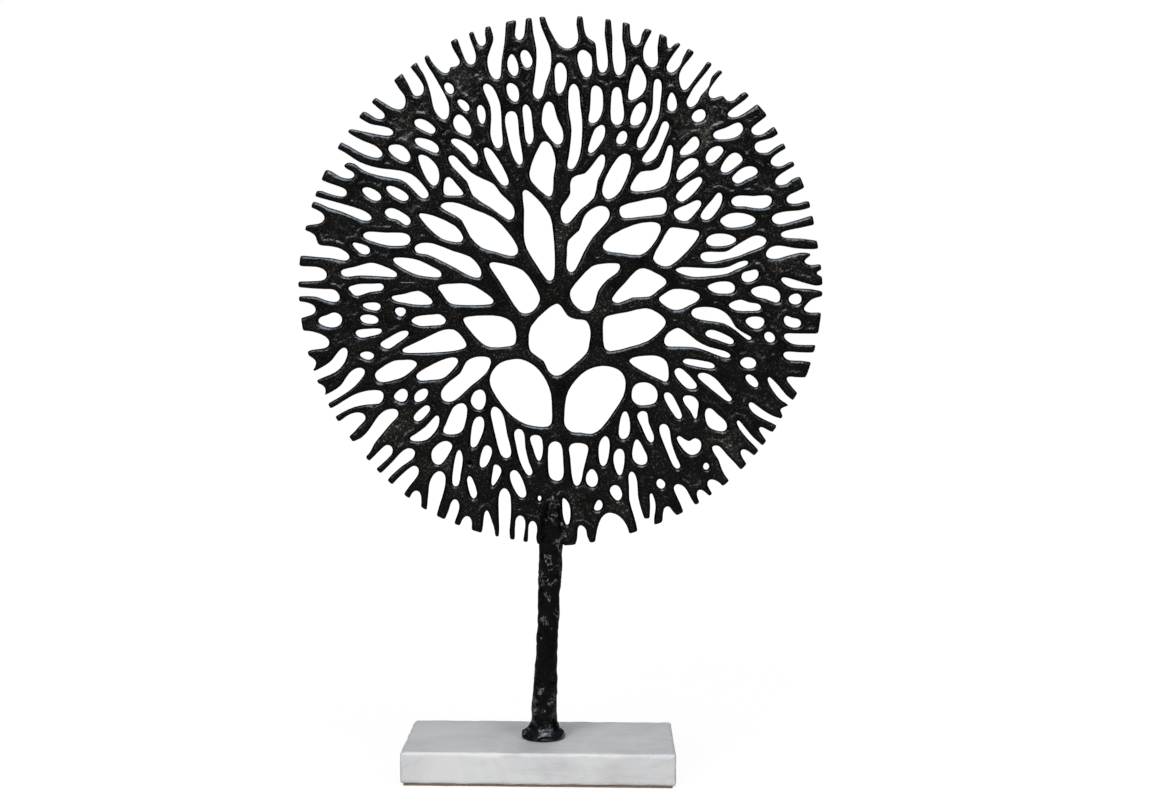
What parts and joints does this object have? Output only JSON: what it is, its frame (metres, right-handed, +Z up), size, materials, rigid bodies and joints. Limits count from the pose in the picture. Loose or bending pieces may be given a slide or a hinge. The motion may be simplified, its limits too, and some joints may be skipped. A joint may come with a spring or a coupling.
{
  "type": "tree of life table sculpture",
  "caption": "Round openwork cast crown of branching coral-like bars on a slim hammered post, bolted through a marble block with a felt underside.",
  "frame": {"origin": "centre of the marble block's footprint, on the underside of the felt", "axes": "+X to the right along the block, +Y to the back through the crown's thickness, +Z up"},
  "size_m": [0.3289, 0.076, 0.4754],
  "materials": {
    "black_casting": "gloss",
    "plated_steel": "satin",
    "white_marble": "polished",
    "brown_felt": "matte"
  },
  "bodies": {
    "root": {"crown": "black_casting", "stem": "black_casting", "weld_beads": "black_casting", "threaded_stud": "plated_steel", "flat_washer": "plated_steel", "spring_washer": "plated_steel", "hex_nut": "plated_steel", "marble_base": "white_marble", "felt_sheet": "brown_felt"}
  },
  "joints": []
}
